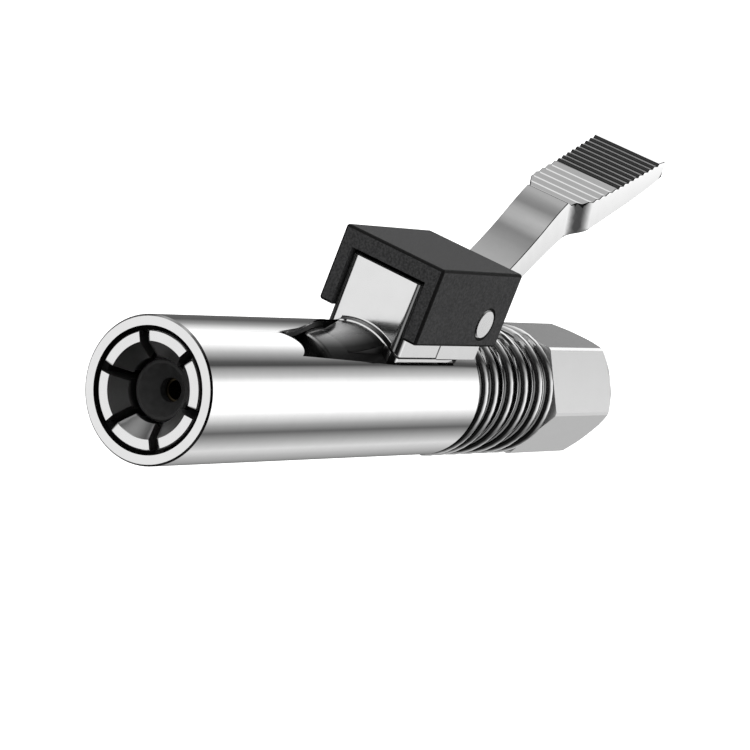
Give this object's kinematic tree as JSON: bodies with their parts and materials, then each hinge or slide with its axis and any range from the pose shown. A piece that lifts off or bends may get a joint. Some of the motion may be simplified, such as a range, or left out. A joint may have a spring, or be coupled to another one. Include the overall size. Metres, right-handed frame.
{
  "type": "quick-release grease coupler",
  "caption": "Locking grease coupler: lever-drawn chrome sleeve, hinged gripping jaws, coil spring and hexagonal threaded inlet.",
  "frame": {"origin": "centre of the inlet port's mouth, at the rear face of the hexagon", "axes": "+X along the coupler's axis, rearwards from the jaws to the inlet port; +Z towards the lever; the nose is at the lowest X"},
  "size_m": [0.1162, 0.0198, 0.0495],
  "materials": {
    "chrome_sleeve": "metal, roughness about 0.1",
    "chrome_block": "metal, roughness about 0.16",
    "lever_polished": "metal, roughness about 0.2",
    "jaw_nickel": "metal, roughness about 0.3",
    "steel_satin": "metal, roughness about 0.32",
    "steel_dark": "metal, roughness about 0.35",
    "steel_bright": "metal, roughness about 0.08",
    "pin_steel": "metal, roughness about 0.3",
    "spring_dark": "metal, roughness about 0.3",
    "bracket_black": "matte, roughness about 0.6",
    "rubber_black": "matte, roughness about 0.75",
    "brass_plain": "metal, roughness about 0.35",
    "copper_soft": "metal, roughness about 0.4"
  },
  "bodies": {
    "core": {"core_tube": "steel_dark", "hex_adapter": "steel_satin", "inlet_washer": "copper_soft", "nose_stem": "steel_dark", "stem_o_ring": "rubber_black", "outlet_nipple": "brass_plain", "nozzle_seal": "rubber_black", "check_spring": "spring_dark", "jaw_spring_ring": "rubber_black", "lug_block": "chrome_block", "main_spring": "spring_dark"},
    "valve_ball": {"check_ball": "steel_bright"},
    "sleeve_group": {"sleeve": "chrome_sleeve", "lever_yoke": "chrome_block", "bracket": "bracket_black", "pivot_pin": "pin_steel"},
    "lever_arm": {"lever": "lever_polished"},
    "jaw_body_1": {"jaw_1": "jaw_nickel"},
    "jaw_body_2": {"jaw_2": "jaw_nickel"},
    "jaw_body_3": {"jaw_3": "jaw_nickel"},
    "jaw_body_4": {"jaw_4": "jaw_nickel"},
    "jaw_body_5": {"jaw_5": "jaw_nickel"},
    "jaw_body_6": {"jaw_6": "jaw_nickel"}
  },
  "joints": [
    {"name": "sleeve_slide", "type": "slide", "parent": "core", "child": "sleeve_group", "axis": [1, 0, 0], "range_m": [0, 0.0022], "stiffness_N_per_m": 6000, "springref_m": -0.003, "deforming": ["main_spring"]},
    {"name": "lever_pivot", "type": "hinge", "parent": "sleeve_group", "child": "lever_arm", "pos_m": [-0.0507, 0, 0.0135], "axis": [0, 1, 0], "range_deg": [0, 20]},
    {"name": "check_ball_lift", "type": "slide", "parent": "core", "child": "valve_ball", "axis": [-1, 0, 0], "range_m": [0, 0.0008], "stiffness_N_per_m": 150, "springref_m": -0.002, "deforming": ["check_spring"]},
    {"name": "jaw_1_hinge", "type": "hinge", "parent": "core", "child": "jaw_body_1", "pos_m": [-0.0902, 0, 0.0045], "axis": [0, 1, 0], "range_deg": [0, 1]},
    {"name": "jaw_2_hinge", "type": "hinge", "parent": "core", "child": "jaw_body_2", "pos_m": [-0.0902, -0.0039, 0.00225], "axis": [0, 0.5, 0.866], "range_deg": [0, 1]},
    {"name": "jaw_3_hinge", "type": "hinge", "parent": "core", "child": "jaw_body_3", "pos_m": [-0.0902, -0.0039, -0.00225], "axis": [0, -0.5, 0.866], "range_deg": [0, 1]},
    {"name": "jaw_4_hinge", "type": "hinge", "parent": "core", "child": "jaw_body_4", "pos_m": [-0.0902, 0, -0.0045], "axis": [0, -1, 0], "range_deg": [0, 1]},
    {"name": "jaw_5_hinge", "type": "hinge", "parent": "core", "child": "jaw_body_5", "pos_m": [-0.0902, 0.0039, -0.00225], "axis": [0, -0.5, -0.866], "range_deg": [0, 1]},
    {"name": "jaw_6_hinge", "type": "hinge", "parent": "core", "child": "jaw_body_6", "pos_m": [-0.0902, 0.0039, 0.00225], "axis": [0, 0.5, -0.866], "range_deg": [0, 1]}
  ],
  "couplings": [
    {"joint": "lever_pivot", "follows": "sleeve_slide", "rad_per_m": 157.87},
    {"joint": "jaw_1_hinge", "follows": "sleeve_slide", "rad_per_m": 7.8936},
    {"joint": "jaw_2_hinge", "follows": "sleeve_slide", "rad_per_m": 7.8936},
    {"joint": "jaw_3_hinge", "follows": "sleeve_slide", "rad_per_m": 7.8936},
    {"joint": "jaw_4_hinge", "follows": "sleeve_slide", "rad_per_m": 7.8936},
    {"joint": "jaw_5_hinge", "follows": "sleeve_slide", "rad_per_m": 7.8936},
    {"joint": "jaw_6_hinge", "follows": "sleeve_slide", "rad_per_m": 7.8936}
  ]
}
